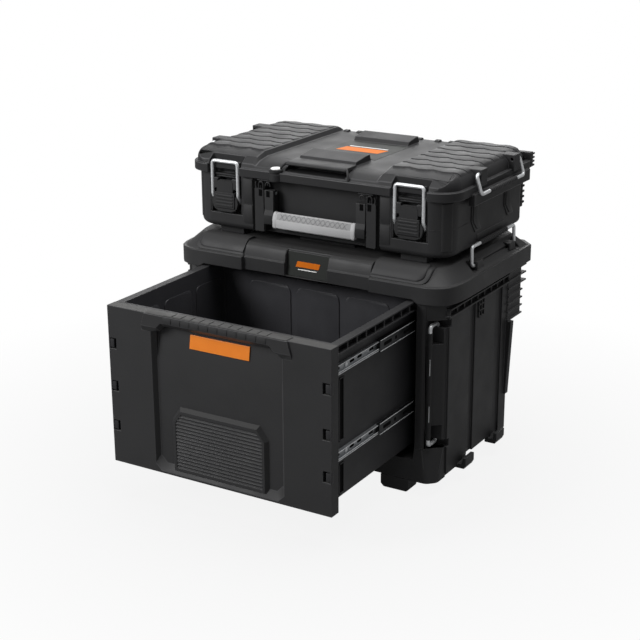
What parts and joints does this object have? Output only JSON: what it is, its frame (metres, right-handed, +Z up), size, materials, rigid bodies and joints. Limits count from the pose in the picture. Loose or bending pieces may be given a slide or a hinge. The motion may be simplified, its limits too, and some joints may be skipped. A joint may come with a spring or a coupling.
{
  "type": "stacking tool chest",
  "caption": "Stacking tool chest: a base with one deep drawer on telescopic slides, and a latched, gasketed case with a folding handle on top, held by wire bails.",
  "frame": {"origin": "on the floor under the middle of the whole part, with the drawer open as pictured", "axes": "+X to the right seen from the front, +Y to the back, +Z up; the drawer opens towards -Y"},
  "size_m": [0.5686, 0.647, 0.5556],
  "materials": {
    "moulding": "fine textured",
    "cover": "fine textured",
    "bin": "smooth moulded",
    "orange": "satin",
    "label": "bare plate",
    "zinc": "bright zinc plate",
    "sleeve": "matt",
    "seal": "matt",
    "grip": "fine diagonal grip",
    "white": "satin"
  },
  "bodies": {
    "base": {"housing_shell": "moulding", "front_foot_left": "moulding", "front_foot_right": "moulding", "rear_foot_left": "moulding", "rear_foot_right": "moulding", "top_cover": "cover", "badge_plate": "label", "slide_screws_cabinet": "zinc", "slide_cabinet_upper_left": "zinc", "slide_cabinet_lower_left": "zinc", "slide_cabinet_upper_right": "zinc", "slide_cabinet_lower_right": "zinc"},
    "slide_middle": {"slide_middle_upper_left": "zinc", "slide_middle_lower_left": "zinc", "slide_middle_upper_right": "zinc", "slide_middle_lower_right": "zinc"},
    "drawer": {"drawer_front": "moulding", "colour_plate": "orange", "drawer_bin": "bin", "slide_screws_drawer": "zinc", "slide_drawer_upper_left": "zinc", "slide_drawer_lower_left": "zinc", "slide_drawer_upper_right": "zinc", "slide_drawer_lower_right": "zinc"},
    "case": {"case_tub": "moulding", "case_gasket": "seal", "hinge_pin_left": "zinc", "hinge_pin_right": "zinc", "handle_pin_left": "zinc", "handle_pin_right": "zinc", "latch_pin_left": "zinc", "latch_pin_right": "zinc", "case_feet": "moulding", "handle_post_left": "moulding", "handle_post_right": "moulding", "latch_ears_left": "moulding", "latch_ears_right": "moulding"},
    "handle": {"case_handle": "moulding", "handle_grip": "grip"},
    "lid": {"case_lid": "moulding", "lid_label": "label", "valve_body": "moulding"},
    "valve": {"valve_cap": "white"},
    "lock_left": {"lock_bail_left": "zinc", "lock_sleeve_left": "sleeve"},
    "stack_left": {"stack_bail_left": "zinc", "stack_sleeve_left": "sleeve"},
    "lid_bail_left": {"lid_bail_left": "zinc", "lid_sleeve_left": "sleeve"},
    "latch_left": {"latch_lever_left": "moulding"},
    "wire_left": {"latch_wire_left": "zinc"},
    "lock_right": {"lock_bail_right": "zinc", "lock_sleeve_right": "sleeve"},
    "stack_right": {"stack_bail_right": "zinc", "stack_sleeve_right": "sleeve"},
    "lid_bail_right": {"lid_bail_right": "zinc", "lid_sleeve_right": "sleeve"},
    "latch_right": {"latch_lever_right": "moulding"},
    "wire_right": {"latch_wire_right": "zinc"}
  },
  "joints": [
    {"name": "drawer_slide", "type": "slide", "parent": "base", "child": "drawer", "axis": [0, -1, 0], "range_m": [-0.278, 0.012]},
    {"name": "slide_middle_slide", "type": "slide", "parent": "base", "child": "slide_middle", "axis": [0, -1, 0], "range_m": [-0.139, 0.006]},
    {"name": "case_lift", "type": "slide", "parent": "base", "child": "case", "axis": [0, 0, 1], "range_m": [0, 0.1]},
    {"name": "lid_hinge", "type": "hinge", "parent": "case", "child": "lid", "pos_m": [0, 0.3165, 0.5141], "axis": [-1, 0, 0], "range_deg": [0, 95]},
    {"name": "handle_swing", "type": "hinge", "parent": "case", "child": "handle", "pos_m": [0, -0.0035, 0.4863], "axis": [-1, 0, 0], "range_deg": [0, 95]},
    {"name": "valve_turn", "type": "hinge", "parent": "lid", "child": "valve", "pos_m": [-0.077, -0.0135, 0.5319], "axis": [0, 0, 1], "range_deg": [0, 90]},
    {"name": "lock_left_swing", "type": "hinge", "parent": "base", "child": "lock_left", "pos_m": [-0.245, -0.0155, 0.198], "axis": [0, 0, -1], "range_deg": [0, 90]},
    {"name": "stack_left_swing", "type": "hinge", "parent": "base", "child": "stack_left", "pos_m": [-0.266, 0.1545, 0.386], "axis": [0, -1, 0], "range_deg": [0, 100]},
    {"name": "lid_bail_left_swing", "type": "hinge", "parent": "lid", "child": "lid_bail_left", "pos_m": [-0.27, 0.1545, 0.5456], "axis": [0, 1, 0], "range_deg": [0, 150]},
    {"name": "latch_left_turn", "type": "hinge", "parent": "case", "child": "latch_left", "pos_m": [-0.186, -0.0095, 0.4943], "axis": [-1, 0, 0], "range_deg": [0, 130]},
    {"name": "wire_left_turn", "type": "hinge", "parent": "latch_left", "child": "wire_left", "pos_m": [-0.186, -0.0055, 0.4583], "axis": [-1, 0, 0], "range_deg": [-130, 0]},
    {"name": "lock_right_swing", "type": "hinge", "parent": "base", "child": "lock_right", "pos_m": [0.245, -0.0155, 0.198], "axis": [0, 0, 1], "range_deg": [0, 90]},
    {"name": "stack_right_swing", "type": "hinge", "parent": "base", "child": "stack_right", "pos_m": [0.266, 0.1545, 0.386], "axis": [0, 1, 0], "range_deg": [0, 100]},
    {"name": "lid_bail_right_swing", "type": "hinge", "parent": "lid", "child": "lid_bail_right", "pos_m": [0.27, 0.1545, 0.5456], "axis": [0, -1, 0], "range_deg": [0, 150]},
    {"name": "latch_right_turn", "type": "hinge", "parent": "case", "child": "latch_right", "pos_m": [0.186, -0.0095, 0.4943], "axis": [-1, 0, 0], "range_deg": [0, 130]},
    {"name": "wire_right_turn", "type": "hinge", "parent": "latch_right", "child": "wire_right", "pos_m": [0.186, -0.0055, 0.4583], "axis": [-1, 0, 0], "range_deg": [-130, 0]}
  ],
  "couplings": [
    {"joint": "slide_middle_slide", "follows": "drawer_slide", "ratio": 0.5},
    {"joint": "wire_left_turn", "follows": "latch_left_turn", "ratio": -1},
    {"joint": "wire_right_turn", "follows": "latch_right_turn", "ratio": -1}
  ]
}
